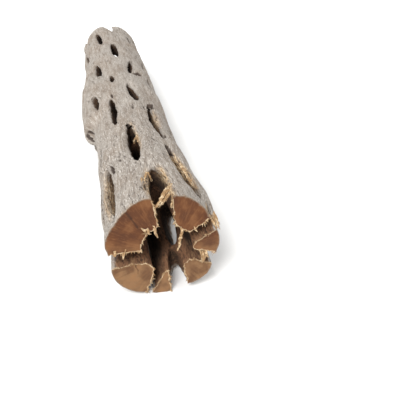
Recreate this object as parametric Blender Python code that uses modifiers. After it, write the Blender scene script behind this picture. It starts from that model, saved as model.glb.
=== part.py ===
"""Cholla cactus skeleton: the dry woody net of one cholla stem, sawn square at both ends and lying down.

A living cholla stem has a bump over every leaf. Behind each bump the wood parts, and when the flesh has
rotted away it leaves a net of strands with a long window behind every bump, round a hollow where the
soft pith was. The windows sit where the bumps sat, on two crossing sets of spirals, so one rule places
them all, and the net is built round them.

Metres, +Z up. The stem lies along +Y, near sawn end at -Y. The origin is under its middle, on the floor.
Angles round the stem start at the top (+Z) and grow towards +X.
"""

import math
import random

import bmesh
import bpy
from mathutils import Vector

MM = 0.001

# Driving dimensions
LENGTH = 250 * MM
OUTER_RADIUS = 18.2 * MM
HOLLOW_RADIUS = 8.4 * MM
FLOOR_DEPTH = 0.8 * MM

# The two sets of spirals. Nine steps across and four ranks back down close the ring.
STEPS_ROUND = 9
RANKS_ROUND = 4
FIRST_TURN = math.radians(-3)
FIRST_ALONG = 2 * MM
TURN_ABOVE = math.radians(-10)
RISE_ABOVE = 42.4 * MM
TURN_ACROSS = (math.tau + RANKS_ROUND * TURN_ABOVE) / STEPS_ROUND
RISE_ACROSS = RANKS_ROUND * RISE_ABOVE / STEPS_ROUND

# A window where the photograph shows none: half length, half width, and how far each one strays.
HALF_LENGTH = 16.5 * MM
HALF_WIDTH = 1.5 * MM
STRAY_LENGTH = 3.0 * MM
STRAY_WIDTH = 0.3 * MM
STRAY_TURN = math.radians(4)
STRAY_ALONG = 2.5 * MM
LEAN = math.radians(-5)
STRAY_LEAN = math.radians(5)
SEED = 17

# Windows that the photograph shows, and a few beside them that had to give way, by (steps across, ranks
# above): how far each has drifted from the rule round (degrees) and along (mm), its half length and half
# width (mm), and its lean (degrees).
SEEN_WINDOWS = {
    (0, 0): (2, 3, 18.5, 3.3, 2),
    (1, 0): (8, 4, 16.5, 2.8, -22),
    (8, -3): (-11, -3, 17.5, 3.0, 0),
    (8, -4): (-2, -1, 15.5, 1.0, -6),
    (0, 1): (-1, 3, 18.6, 2.2, 1),
    (1, 1): (5, 6, 18.5, 2.1, -4),
    (2, 1): (8, 0, 15.0, 1.4, -4),
    (8, -2): (-12, -9, 12.0, 1.4, -6),
    (0, 2): (-8, 0, 16.5, 1.6, 1),
    (1, 2): (-6, -1, 12.0, 2.1, -8),
    (2, 2): (2, 7, 11.0, 1.2, 4),
    (8, -1): (15, -3, 9.5, 1.5, -3),
    (0, 3): (12, 1, 5.0, 1.2, 0),
    (1, 3): (15, 0, 13.0, 1.5, 10),
    (2, 3): (20, 0, 14.0, 1.2, 0),
    (0, 4): (0, -17, 16.0, 1.7, -8),
    (1, 4): (5, -6, 16.5, 2.0, -2),
    (2, 4): (12, 13, 10.0, 1.3, 0),
    (0, 5): (-18, -5, 14.0, 1.5, -8),
    (1, 5): (-11, -11, 17.0, 1.7, -8),
    (2, 5): (-15, 0, 20.0, 1.9, 4),
    (2, -1): (-10, 2, 14.0, 2.4, -8),
    (2, 0): (10, 2, 13.0, 1.4, -4),
    (3, -1): (-4, -6, 17.0, 2.7, -4),
    (4, -2): (5, 1, 19.0, 3.3, -4),
    (4, -1): (-2, -8, 13.5, 2.4, -4),
    (5, -2): (-1, 2, 22.5, 1.2, -10),
    (5, 0): (0, -8, 10.0, 1.2, -6),
    (6, -3): (17, 9, 17.0, 2.7, -4),
    (7, -3): (-1, 17, 14.0, 1.5, -6),
}

# A window's outline has eight points, as (share of the half length, side), from the far tip round to the
# right. A lower fullness makes it blunter. It is narrower where it meets the hollow, apart from one that
# is wider there.
LENS = ((1.0, 0), (0.62, 1), (-0.05, 1), (-0.7, 1), (-1.0, 0), (-0.62, -1), (0.05, -1), (0.7, -1))
LENS_FULLNESS = 0.45
INNER_WIDTH_SHARE = 0.8
WIDER_INSIDE = {(5, -2): 1.7}

# Smoothing rounds the coarse net and draws each window in by this much, which the outline makes up for.
SMOOTHING = 1
SMOOTHING_LOSS = 1.1
RIM_CREASE = 0.6

# The net is built this far past each saw cut.
SPARE_LENGTH = 1.5 * RISE_ABOVE

# Mean outer radius along the stem, as shares of OUTER_RADIUS.
GIRTH = (
    (-60, 1.01), (0, 1.01), (14, 1.0), (40, 0.99), (70, 0.925),
    (95, 0.94), (150, 0.96), (205, 0.96), (320, 0.94),
)
# Where the pith was, off the stem's middle: along, then +X and +Z, in mm.
PITH = (
    (-60, 1.3, -0.8), (0, 1.3, -0.8), (60, 0.6, -0.8),
    (130, -0.8, 0.4), (200, 0.4, 0.6), (320, 0.8, -0.4),
)
# Slow bends of the whole stem: along, then +X and +Z, in mm.
BEND = (
    (-60, 0.0, -0.2), (0, 0.0, -0.2), (60, -0.4, 0.3),
    (130, -0.2, 0.2), (200, 0.05, -0.8), (320, 0.8, -1.8),
)

# Swellings where side stems once grew: middle and half spread round (degrees), height (mm), then along
# (mm) where each starts, is full, starts to fade and ends.
SWELLINGS = (
    (-84, 62, 4.8, 90, 99, 135, 185),
    (-88, 55, 0.8, 158, 172, 205, 232),
    (84, 60, 0.9, 2, 12, 18, 40),
    (-138, 42, 1.4, -60, -50, 15, 55),
)

# Low lumps all over, left by the bumps on the living stem: one wave winds round, a slower one crosses it.
LUMP_HEIGHT = 0.45 * MM
LUMPS_ROUND = 5
LUMP_SPACING = 47 * MM
CROSSING_LUMPS_ROUND = 2
CROSSING_LUMP_SPACING = 108 * MM

WOOD_COLOUR = (0.52, 0.46, 0.39, 1.0)
WOOD_ROUGHNESS = 0.9
SHARP_ANGLE = math.radians(50)


def clear_scene():
    for obj in list(bpy.data.objects):
        bpy.data.objects.remove(obj)


def smooth_step(value, start, end):
    share = min(max((value - start) / (end - start), 0.0), 1.0)
    return share * share * (3 - 2 * share)


def along_table(table, along):
    """The table's values at a distance along the stem, eased from row to row."""
    for low, high in zip(table, table[1:]):
        if along <= high[0] * MM or high is table[-1]:
            share = smooth_step(along, low[0] * MM, high[0] * MM)
            return [a + (b - a) * share for a, b in zip(low[1:], high[1:])]


def home(across, above):
    """The one name of a window, whichever way round the stem it was reached."""
    laps = across // STEPS_ROUND
    return across - laps * STEPS_ROUND, above + laps * RANKS_ROUND


def window(across, above):
    """A window's middle (turn, along), half length, half width and lean."""
    name = home(across, above)
    turn = FIRST_TURN + across * TURN_ACROSS + above * TURN_ABOVE
    along = FIRST_ALONG + across * RISE_ACROSS + above * RISE_ABOVE
    if name in SEEN_WINDOWS:
        drift, shift, half_length, half_width, lean = SEEN_WINDOWS[name]
        turn += math.radians(drift)
        along += shift * MM
        return turn, along, half_length * MM, half_width * MM, math.radians(lean)
    draw = random.Random(f"{SEED} {name}")
    return (
        turn + draw.uniform(-STRAY_TURN, STRAY_TURN),
        along + draw.uniform(-STRAY_ALONG, STRAY_ALONG),
        HALF_LENGTH + draw.uniform(-STRAY_LENGTH, STRAY_LENGTH),
        HALF_WIDTH + draw.uniform(-STRAY_WIDTH, STRAY_WIDTH),
        LEAN + draw.uniform(-STRAY_LEAN, STRAY_LEAN),
    )


def lens_points(across, above, radius, width_share):
    """A window's outline on the cylinder of this radius, as (turn, along)."""
    turn, along, half_length, half_width, lean = window(across, above)
    points = []
    for share, side in LENS:
        bulge = side * (1 - share * share) ** LENS_FULLNESS
        across_share = bulge * half_width * width_share * SMOOTHING_LOSS / radius
        points.append((turn + lean * share / 2 + across_share, along + share * half_length * SMOOTHING_LOSS))
    return points


def middle(*windows):
    """The middle of the wood between these windows, as (turn, along)."""
    found = [window(*w) for w in windows]
    return tuple(sum(w[k] for w in found) / len(found) for k in (0, 1))


def bridge(across, above):
    """The wood between a window's far tip and the near tip of the one above it."""
    low = window(across, above)
    high = window(across, above + 1)
    turn = (low[0] + low[4] / 2 + high[0] - high[4] / 2) / 2
    along = (low[1] + low[2] + high[1] - high[2]) / 2
    return turn, along


def wood_ring(i, j):
    """The eight points of wood round window (i, j), matched to the lens, each with a name that its
    neighbours share."""
    return (
        (("bridge", i, j), bridge(i, j)),
        (("fork", i, j), middle((i, j), (i + 1, j), (i, j + 1))),
        (("side", i, j), middle((i, j), (i + 1, j), (i + 1, j - 1))),
        (("fork", i, j - 1), middle((i, j - 1), (i + 1, j - 1), (i, j))),
        (("bridge", i, j - 1), bridge(i, j - 1)),
        (("side", i - 1, j), middle((i - 1, j), (i, j), (i, j - 1))),
        (("fork", i - 1, j), middle((i - 1, j), (i, j), (i - 1, j + 1))),
        (("side", i - 1, j + 1), middle((i - 1, j + 1), (i, j + 1), (i, j))),
    )


def on_cylinder(turn, along, radius):
    return Vector((radius * math.sin(turn), along, radius * math.cos(turn)))


def straight_net():
    """The coarse net on a straight, even tube: for each window a ring of wood outside, one inside, and
    the window's own wall between them."""
    net = bmesh.new()
    crease = net.edges.layers.float.new("crease_edge")
    shared = {}

    def wood_vertex(kind, across, above, place, radius):
        name = (kind, *home(across, above), radius)
        if name not in shared:
            shared[name] = net.verts.new(on_cylinder(*place, radius))
        return shared[name]

    most = math.ceil((LENGTH + SPARE_LENGTH) / RISE_ABOVE) + RANKS_ROUND
    for across in range(STEPS_ROUND):
        for above in range(-most, most):
            if not -SPARE_LENGTH < window(across, above)[1] < LENGTH + SPARE_LENGTH:
                continue
            rings = []
            inner_share = WIDER_INSIDE.get((across, above), INNER_WIDTH_SHARE)
            for radius, share in ((OUTER_RADIUS, 1.0), (HOLLOW_RADIUS, inner_share)):
                outline = lens_points(across, above, radius, share)
                lens = [net.verts.new(on_cylinder(*place, radius)) for place in outline]
                wood = [wood_vertex(*name, place, radius) for name, place in wood_ring(across, above)]
                rings.append((lens, wood))
            (lens_out, wood_out), (lens_in, wood_in) = rings
            for k in range(len(LENS)):
                n = (k + 1) % len(LENS)
                net.faces.new((lens_out[k], wood_out[k], wood_out[n], lens_out[n]))
                net.faces.new((lens_in[n], wood_in[n], wood_in[k], lens_in[k]))
                net.faces.new((lens_out[n], lens_in[n], lens_in[k], lens_out[k]))
                net.edges.get((lens_out[k], lens_out[n]))[crease] = RIM_CREASE
    bmesh.ops.recalc_face_normals(net, faces=net.faces)
    mesh = bpy.data.meshes.new("straight_net")
    net.to_mesh(mesh)
    net.free()
    return mesh


def outer_radius(turn, along):
    """The uneven outside: girth, the swellings and low lumps."""
    radius = OUTER_RADIUS * along_table(GIRTH, along)[0]
    for middle_turn, half_turn, height, *reach in SWELLINGS:
        off = math.remainder(turn - math.radians(middle_turn), math.tau) / math.radians(half_turn)
        if abs(off) < 1:
            start, full, fade, end = (place * MM for place in reach)
            rise = smooth_step(along, start, full) * (1 - smooth_step(along, fade, end))
            radius += height * MM * rise * math.cos(off * math.pi / 2) ** 2
    wave = math.sin(LUMPS_ROUND * turn + math.tau * along / LUMP_SPACING)
    crossing = math.sin(CROSSING_LUMPS_ROUND * turn - math.tau * along / CROSSING_LUMP_SPACING)
    return radius + LUMP_HEIGHT * wave * crossing


def grown(point):
    """Where a point of the straight, even net lies in the real stem. Its depth is 0 at the hollow and 1 at
    the outside."""
    turn = math.atan2(point.x, point.z)
    depth = (math.hypot(point.x, point.z) - HOLLOW_RADIUS) / (OUTER_RADIUS - HOLLOW_RADIUS)
    pith_x, pith_z = along_table(PITH, point.y)
    bend_x, bend_z = along_table(BEND, point.y)
    radius = HOLLOW_RADIUS + (outer_radius(turn, point.y) - HOLLOW_RADIUS) * depth
    inward = 1 - depth
    return Vector((
        radius * math.sin(turn) + (pith_x * inward + bend_x) * MM,
        point.y,
        radius * math.cos(turn) + (pith_z * inward + bend_z) * MM,
    ))


def cut_off(body, point, outward):
    """Saws away what lies beyond a plane and closes the cut."""
    everything = body.verts[:] + body.edges[:] + body.faces[:]
    sawn = bmesh.ops.bisect_plane(body, geom=everything, plane_co=point, plane_no=outward, clear_outer=True)
    rim = [e for e in sawn["geom_cut"] if isinstance(e, bmesh.types.BMEdge)]
    bmesh.ops.holes_fill(body, edges=rim, sides=0)


def skeleton_mesh(smooth_net):
    body = bmesh.new()
    body.from_mesh(smooth_net)
    for vert in body.verts:
        vert.co = grown(vert.co)
    cut_off(body, Vector((0, 0, 0)), Vector((0, -1, 0)))
    cut_off(body, Vector((0, LENGTH, 0)), Vector((0, 1, 0)))
    lowest = min(v.co.z for v in body.verts)
    cut_off(body, Vector((0, 0, lowest + FLOOR_DEPTH)), Vector((0, 0, -1)))
    corners = [[f(v.co[k] for v in body.verts) for f in (min, max)] for k in range(3)]
    to_origin = Vector((-sum(corners[0]) / 2, -sum(corners[1]) / 2, -corners[2][0]))
    bmesh.ops.translate(body, verts=body.verts, vec=to_origin)
    mesh = bpy.data.meshes.new("cholla_skeleton")
    body.to_mesh(mesh)
    body.free()
    return mesh


def wood_material():
    wood = bpy.data.materials.new("weathered_wood")
    wood.use_nodes = True
    shader = wood.node_tree.nodes["Principled BSDF"]
    shader.inputs["Base Color"].default_value = WOOD_COLOUR
    shader.inputs["Roughness"].default_value = WOOD_ROUGHNESS
    shader.inputs["Metallic"].default_value = 0.0
    return wood


def main():
    clear_scene()
    stem = bpy.data.collections.new("cholla_cactus_skeleton")
    bpy.context.scene.collection.children.link(stem)

    net = bpy.data.objects.new("net_cage", straight_net())
    stem.objects.link(net)
    smoothing = net.modifiers.new("smoothing", "SUBSURF")
    smoothing.levels = SMOOTHING
    smoothing.render_levels = SMOOTHING
    bpy.context.view_layer.update()
    smooth_net = bpy.data.meshes.new_from_object(net.evaluated_get(bpy.context.evaluated_depsgraph_get()))
    bpy.data.objects.remove(net)

    skeleton = bpy.data.objects.new("cholla_skeleton", skeleton_mesh(smooth_net))
    stem.objects.link(skeleton)
    skeleton.data.materials.append(wood_material())
    skeleton.data.shade_smooth()
    skeleton.data.set_sharp_from_angle(angle=SHARP_ANGLE)


main()
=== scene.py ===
# %% [markdown]
# # A cholla cactus skeleton
#
# When a cholla stem dies, its flesh and its soft pith rot away. A hollow net of woody strands stays, with
# a long window behind every bump that the living stem had. This lesson grows that net at a fine scale,
# gives it fibres, cracks and torn places, saws it square, and lights it the way a shop photograph would.
#
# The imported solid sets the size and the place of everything. It is loaded first, and never changed.

# %% Load the solid and measure it
import math
import random

import bmesh
import bpy
import numpy as np
from mathutils import Matrix, Vector, noise
from mathutils.geometry import delaunay_2d_cdt


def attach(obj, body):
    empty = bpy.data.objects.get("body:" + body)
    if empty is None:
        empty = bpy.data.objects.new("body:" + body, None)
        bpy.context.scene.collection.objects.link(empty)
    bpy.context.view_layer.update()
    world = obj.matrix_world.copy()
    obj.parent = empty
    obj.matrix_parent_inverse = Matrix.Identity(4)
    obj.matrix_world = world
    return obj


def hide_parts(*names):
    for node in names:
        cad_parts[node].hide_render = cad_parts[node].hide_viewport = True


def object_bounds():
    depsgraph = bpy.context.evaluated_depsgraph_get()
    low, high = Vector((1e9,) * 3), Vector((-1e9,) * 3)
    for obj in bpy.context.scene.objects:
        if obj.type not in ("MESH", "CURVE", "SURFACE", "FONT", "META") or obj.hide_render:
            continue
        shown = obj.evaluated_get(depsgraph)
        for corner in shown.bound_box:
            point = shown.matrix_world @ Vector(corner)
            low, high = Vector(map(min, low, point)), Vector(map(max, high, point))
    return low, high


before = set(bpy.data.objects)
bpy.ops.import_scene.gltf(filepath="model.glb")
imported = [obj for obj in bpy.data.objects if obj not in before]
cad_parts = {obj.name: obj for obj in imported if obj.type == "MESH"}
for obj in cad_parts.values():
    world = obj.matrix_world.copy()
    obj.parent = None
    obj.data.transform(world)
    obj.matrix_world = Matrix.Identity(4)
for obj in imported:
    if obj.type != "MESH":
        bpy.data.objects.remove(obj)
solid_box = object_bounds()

MM = 0.001
solid_low, solid_high = (Vector(corner) for corner in solid_box)
LENGTH = solid_high.y - solid_low.y
print(f"the solid is {LENGTH / MM:.0f} mm long and {(solid_high.x - solid_low.x) / MM:.1f} mm wide")

# %% [markdown]
# ## The rule behind the windows
#
# The bumps of a cactus sit where a growing tip puts them, on two sets of spirals that cross, as on a pine
# cone. Here nine steps across and four ranks back down close the ring, so a pair of whole numbers names
# every window. Angles start at the top of the lying stem and grow to the right. Distances run along it
# from its near sawn end. A real stem isn't quite regular, so the windows that a photograph shows have a
# nudge each, and the rest stray by a fixed random draw.

# %% The rule
OUTER_RADIUS = 18.2 * MM
HOLLOW_RADIUS = 8.4 * MM
STEPS_ROUND = 9
RANKS_ROUND = 4
FIRST_TURN = math.radians(-3)
FIRST_ALONG = 2 * MM
TURN_ABOVE = math.radians(-10)
RISE_ABOVE = 42.4 * MM
TURN_ACROSS = (math.tau + RANKS_ROUND * TURN_ABOVE) / STEPS_ROUND
RISE_ACROSS = RANKS_ROUND * RISE_ABOVE / STEPS_ROUND
SPARE_LENGTH = 1.5 * RISE_ABOVE

HALF_LENGTH = 16.5 * MM
HALF_WIDTH = 1.5 * MM
STRAY_LENGTH = 3.0 * MM
STRAY_WIDTH = 0.3 * MM
STRAY_TURN = math.radians(4)
STRAY_ALONG = 2.5 * MM
LEAN = math.radians(-5)
STRAY_LEAN = math.radians(5)
SEED = 17

# By (steps across, ranks above): drift round (degrees) and along (mm), half length and half width (mm),
# and lean (degrees).
SEEN_WINDOWS = {
    (0, 0): (2, 3, 18.5, 3.3, 2),
    (1, 0): (8, 4, 16.5, 2.8, -22),
    (8, -3): (-11, -3, 17.5, 3.0, 0),
    (8, -4): (-2, -1, 15.5, 1.0, -6),
    (0, 1): (-1, 3, 18.6, 2.2, 1),
    (1, 1): (5, 6, 18.5, 2.1, -4),
    (2, 1): (8, 0, 15.0, 1.4, -4),
    (8, -2): (-12, -9, 12.0, 1.4, -6),
    (0, 2): (-8, 0, 16.5, 1.6, 1),
    (1, 2): (-6, -1, 12.0, 2.1, -8),
    (2, 2): (2, 7, 11.0, 1.2, 4),
    (8, -1): (15, -3, 9.5, 1.5, -3),
    (0, 3): (12, 1, 5.0, 1.2, 0),
    (1, 3): (15, 0, 13.0, 1.5, 10),
    (2, 3): (20, 0, 14.0, 1.2, 0),
    (0, 4): (0, -17, 16.0, 1.7, -8),
    (1, 4): (5, -6, 16.5, 2.0, -2),
    (2, 4): (12, 13, 10.0, 1.3, 0),
    (0, 5): (-18, -5, 14.0, 1.5, -8),
    (1, 5): (-11, -11, 17.0, 1.7, -8),
    (2, 5): (-15, 0, 20.0, 1.9, 4),
    (2, -1): (-10, 2, 14.0, 2.4, -8),
    (2, 0): (10, 2, 13.0, 1.4, -4),
    (3, -1): (-4, -6, 17.0, 2.7, -4),
    (4, -2): (5, 1, 19.0, 3.3, -4),
    (4, -1): (-2, -8, 13.5, 2.4, -4),
    (5, -2): (-1, 2, 22.5, 1.2, -10),
    (5, 0): (0, -8, 10.0, 1.2, -6),
    (6, -3): (17, 9, 17.0, 2.7, -4),
    (7, -3): (-1, 17, 14.0, 1.5, -6),
}


def home(across, above):
    """The one name of a window, whichever way round the stem it was reached."""
    laps = across // STEPS_ROUND
    return across - laps * STEPS_ROUND, above + laps * RANKS_ROUND


def window(across, above):
    """A window's middle (turn, along), half length, half width and lean."""
    name = home(across, above)
    turn = FIRST_TURN + across * TURN_ACROSS + above * TURN_ABOVE
    along = FIRST_ALONG + across * RISE_ACROSS + above * RISE_ABOVE
    if name in SEEN_WINDOWS:
        drift, shift, half_length, half_width, lean = SEEN_WINDOWS[name]
        turn += math.radians(drift)
        along += shift * MM
        return turn, along, half_length * MM, half_width * MM, math.radians(lean)
    draw = random.Random(f"{SEED} {name}")
    return (
        turn + draw.uniform(-STRAY_TURN, STRAY_TURN),
        along + draw.uniform(-STRAY_ALONG, STRAY_ALONG),
        HALF_LENGTH + draw.uniform(-STRAY_LENGTH, STRAY_LENGTH),
        HALF_WIDTH + draw.uniform(-STRAY_WIDTH, STRAY_WIDTH),
        LEAN + draw.uniform(-STRAY_LEAN, STRAY_LEAN),
    )


def windows_in_reach():
    """The names of every window on the net, a spare length past both saw cuts."""
    most = math.ceil((LENGTH + SPARE_LENGTH) / RISE_ABOVE) + RANKS_ROUND
    names = [(across, above) for across in range(STEPS_ROUND) for above in range(-most, most)]
    return [name for name in names if -SPARE_LENGTH < window(*name)[1] < LENGTH + SPARE_LENGTH]


print(f"{len(windows_in_reach())} windows, {math.degrees(TURN_ACROSS):.1f} degrees from step to step")

# %% [markdown]
# ## A coarse net on a straight tube
#
# The net could be carved by cutting eighty holes out of a tube. Booleans would leave long thin triangles,
# though, and fibres could not be laid along them. So it is built round the windows: each is a ring of
# eight points inside a ring of eight points of wood that it shares with its neighbours, on the outside and
# on the hollow, with a wall between. Three rounds of Subdivision Surface then give small four-sided faces
# that run along every strand.

# %% Build the coarse net
LENS = ((1.0, 0), (0.62, 1), (-0.05, 1), (-0.7, 1), (-1.0, 0), (-0.62, -1), (0.05, -1), (0.7, -1))
LENS_FULLNESS = 0.45
INNER_WIDTH_SHARE = 0.8
# Windows that open wider on the hollow than outside, and how much wider.
WIDER_INSIDE = {(5, -2): 1.7}
SMOOTHING = 3
SMOOTHING_LOSS = 1.1
RIM_CREASE = 0.6


def lens_points(across, above, radius, width_share):
    """A window's outline on the cylinder of this radius, as (turn, along)."""
    turn, along, half_length, half_width, lean = window(across, above)
    points = []
    for share, side in LENS:
        bulge = side * (1 - share * share) ** LENS_FULLNESS
        across_share = bulge * half_width * width_share * SMOOTHING_LOSS / radius
        points.append((turn + lean * share / 2 + across_share, along + share * half_length * SMOOTHING_LOSS))
    return points


def middle(*windows):
    """The middle of the wood between these windows, as (turn, along)."""
    found = [window(*w) for w in windows]
    return tuple(sum(w[k] for w in found) / len(found) for k in (0, 1))


def bridge(across, above):
    """The wood between a window's far tip and the near tip of the one above it."""
    low = window(across, above)
    high = window(across, above + 1)
    turn = (low[0] + low[4] / 2 + high[0] - high[4] / 2) / 2
    along = (low[1] + low[2] + high[1] - high[2]) / 2
    return turn, along


def wood_place(kind, i, j):
    """The middle of a bit of wood, as (turn, along): a bridge, or what three windows have between them."""
    if kind == "bridge":
        return bridge(i, j)
    return middle((i, j), (i + 1, j), (i, j + 1) if kind == "fork" else (i + 1, j - 1))


# The bits of wood round a window, each by a name that its neighbours share.
WOOD_RING = (
    ("bridge", 0, 0), ("fork", 0, 0), ("side", 0, 0), ("fork", 0, -1),
    ("bridge", 0, -1), ("side", -1, 0), ("fork", -1, 0), ("side", -1, 1),
)


def on_cylinder(turn, along, radius):
    return Vector((radius * math.sin(turn), along, radius * math.cos(turn)))


def as_mesh(name, shape):
    """The bmesh as a mesh of this name. The bmesh itself goes."""
    mesh = bpy.data.meshes.new(name)
    shape.to_mesh(mesh)
    shape.free()
    return mesh


def straight_net():
    """For each window a ring of wood outside, one inside, and the window's own wall between them."""
    net = bmesh.new()
    crease = net.edges.layers.float.new("crease_edge")
    shared = {}

    def wood_vertex(kind, across, above, radius):
        name = (kind, *home(across, above), radius)
        if name not in shared:
            shared[name] = net.verts.new(on_cylinder(*wood_place(kind, across, above), radius))
        return shared[name]

    for across, above in windows_in_reach():
        rings = []
        inner_share = WIDER_INSIDE.get((across, above), INNER_WIDTH_SHARE)
        for radius, share in ((OUTER_RADIUS, 1.0), (HOLLOW_RADIUS, inner_share)):
            outline = lens_points(across, above, radius, share)
            lens = [net.verts.new(on_cylinder(*place, radius)) for place in outline]
            wood = [wood_vertex(kind, across + i, above + j, radius) for kind, i, j in WOOD_RING]
            rings.append((lens, wood))
        (lens_out, wood_out), (lens_in, wood_in) = rings
        for k in range(len(LENS)):
            n = (k + 1) % len(LENS)
            net.faces.new((lens_out[k], wood_out[k], wood_out[n], lens_out[n]))
            net.faces.new((lens_in[n], wood_in[n], wood_in[k], lens_in[k]))
            net.faces.new((lens_out[n], lens_in[n], lens_in[k], lens_out[k]))
            net.edges.get((lens_out[k], lens_out[n]))[crease] = RIM_CREASE
    bmesh.ops.recalc_face_normals(net, faces=net.faces)
    return as_mesh("straight_net", net)


def as_plain_mesh(piece):
    """The piece with its modifiers applied, as a plain mesh. The piece itself goes."""
    bpy.context.view_layer.update()
    graph = bpy.context.evaluated_depsgraph_get()
    mesh = bpy.data.meshes.new_from_object(piece.evaluated_get(graph))
    bpy.data.objects.remove(piece)
    return mesh


def in_scene(name, data):
    piece = bpy.data.objects.new(name, data)
    bpy.context.scene.collection.objects.link(piece)
    return piece


coarse = in_scene("coarse_net", straight_net())
smoothing = coarse.modifiers.new("smoothing", "SUBSURF")
smoothing.levels = SMOOTHING
smoothing.render_levels = SMOOTHING
net = as_plain_mesh(coarse)
print(f"the fine net has {len(net.vertices)} points and {len(net.polygons)} faces")

# %% [markdown]
# ## Where each point is in the wood
#
# Before the straight net is bent into a real stem, every point is asked how deep it lies between the
# outside and the hollow, how far it is from the nearest window's lip and on which side, and along which
# fibre. Fibres part round a window as water parts round a stone, so the turn of each point is drawn back
# towards the window's middle by as much as the lips stand off it. The relief and the colours read that
# later.

# %% Read the straight net
FLOW_REACH = 3.2 * MM


def part_way(value, start, end):
    """0 before start, 1 after end, and an eased rise between them."""
    share = np.clip((value - start) / (end - start), 0.0, 1.0)
    return share * share * (3 - 2 * share)


def wrapped(turn):
    return np.remainder(turn + math.pi, math.tau) - math.pi


def round_windows(turn, along):
    """How far each point lies outside the nearest window's lip, the side of it, and the fibre's turn."""
    gap = np.full(len(turn), SPARE_LENGTH)
    side = np.zeros(len(turn))
    fibre = turn.copy()
    for name in windows_in_reach():
        w_turn, w_along, half_length, half_width, lean = window(*name)
        share = (along - w_along) / half_length
        off = wrapped(turn - w_turn - lean * np.clip(share, -1, 1) / 2)
        half = half_width * np.maximum(1 - share * share, 0) ** LENS_FULLNESS
        past_tip = np.maximum(np.abs(share) - 1, 0) * half_length
        outside = np.abs(off) * OUTER_RADIUS - half
        here = np.where(past_tip > 0, np.hypot(np.maximum(outside, 0), past_tip), outside)
        nearer = here < gap
        gap[nearer] = here[nearer]
        side[nearer] = np.sign(off[nearer])
        lip = half_width * np.maximum(1 - share * share, 0) / OUTER_RADIUS
        stand_off = lip * np.exp(-np.maximum(np.abs(off) - lip, 0) * OUTER_RADIUS / FLOW_REACH)
        fibre -= np.sign(off) * np.minimum(stand_off, np.abs(off))
    return gap, side, fibre


def positions(mesh):
    flat = np.empty(len(mesh.vertices) * 3)
    mesh.vertices.foreach_get("co", flat)
    return flat.reshape(-1, 3)


straight = positions(net)
turn = np.arctan2(straight[:, 0], straight[:, 2])
along = straight[:, 1]
radius = np.hypot(straight[:, 0], straight[:, 2])
depth = (radius - HOLLOW_RADIUS) / (OUTER_RADIUS - HOLLOW_RADIUS)
lip_gap, lip_side, fibre_turn = round_windows(turn, along)
print(f"{np.mean(lip_gap < 1 * MM):.0%} of the points lie within 1 mm of a window's lip or in its wall")

# %% [markdown]
# ## Grow the straight net into the stem
#
# A stem swells, narrows and bends, and its pith doesn't run down the middle. Each of those is a short
# table of places along the stem, eased from row to row. Bumps that the living stem had leave low lumps,
# and a dead side stem leaves a swelling. The wood also dips towards each window, so that the net looks
# like strands rather than a pierced pipe.

# %% Grow it
GIRTH = (
    (-60, 1.01), (0, 1.01), (14, 1.0), (40, 0.99), (70, 0.925),
    (95, 0.94), (150, 0.96), (205, 0.96), (320, 0.94),
)
PITH = (
    (-60, 1.3, -0.8), (0, 1.3, -0.8), (60, 0.6, -0.8),
    (130, -0.8, 0.4), (200, 0.4, 0.6), (320, 0.8, -0.4),
)
BEND = (
    (-60, 0.0, -0.2), (0, 0.0, -0.2), (60, -0.4, 0.3),
    (130, -0.2, 0.2), (200, 0.05, -0.8), (320, 0.8, -1.8),
)
# Middle and half spread round (degrees), height (mm), then along (mm): start, full, fade and end.
SWELLINGS = (
    (-84, 62, 4.8, 90, 99, 135, 185),
    (-88, 55, 0.8, 158, 172, 205, 232),
    (84, 60, 0.9, 2, 12, 18, 40),
    (-138, 42, 1.4, -60, -50, 15, 55),
)
LUMP_HEIGHT = 0.45 * MM
LUMPS_ROUND = 5
LUMP_SPACING = 47 * MM
CROSSING_LUMPS_ROUND = 2
CROSSING_LUMP_SPACING = 108 * MM
DIP_DEPTH = 0.7 * MM
DIP_REACH = 2.2 * MM

# Places where weather has hollowed the outside: middle turn (degrees) and place along (mm), half spreads of
# both, and depth (mm). They fade out between these two distances, in half spreads.
HOLLOW_FADE = (0.2, 1.3)
HOLLOWED_PLACES = (
    (-8, 12, 6, 14, 1.0),
    (-18, 49, 7, 15, 1.5),
    (-6, 50, 6, 12, 0.9),
    (37, 27, 9, 15, 1.2),
    (31, 74, 7, 16, 1.0),
    (-60, 22, 9, 18, 0.8),
    (-30, 88, 7, 16, 0.7),
    (-87, 95, 8, 6, 1.2),
    (8, 104, 7, 13, 0.7),
    (19, 147, 8, 14, 0.7),
    (-43, 155, 8, 15, 0.7),
    (-3, 185, 8, 16, 0.7),
    (-28, 222, 8, 17, 0.7),
    (-2, 252, 10, 9, 1.2),
)

# Where the straight stem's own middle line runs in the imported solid.
STEM_X = 1.442 * MM
STEM_Z = 17.876 * MM


def along_table(table, places):
    """The table's columns at each place along the stem, eased from row to row."""
    rows = np.array(table)
    starts = rows[:, 0] * MM
    low = np.clip(np.searchsorted(starts, places, side="right") - 1, 0, len(rows) - 2)
    share = part_way(places, starts[low], starts[low + 1])[:, None]
    return (rows[low, 1:] * (1 - share) + rows[low + 1, 1:] * share).T


def outer_radius(turn, along):
    """The uneven outside: girth, the swellings and low lumps."""
    reach = OUTER_RADIUS * along_table(GIRTH, along)[0]
    for middle_turn, half_turn, height, *places in SWELLINGS:
        off = wrapped(turn - math.radians(middle_turn)) / math.radians(half_turn)
        start, full, fade, end = (place * MM for place in places)
        rise = part_way(along, start, full) * (1 - part_way(along, fade, end))
        reach = reach + height * MM * rise * np.where(np.abs(off) < 1, np.cos(off * math.pi / 2) ** 2, 0)
    wave = np.sin(LUMPS_ROUND * turn + math.tau * along / LUMP_SPACING)
    crossing = np.sin(CROSSING_LUMPS_ROUND * turn - math.tau * along / CROSSING_LUMP_SPACING)
    return reach + LUMP_HEIGHT * wave * crossing


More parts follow.
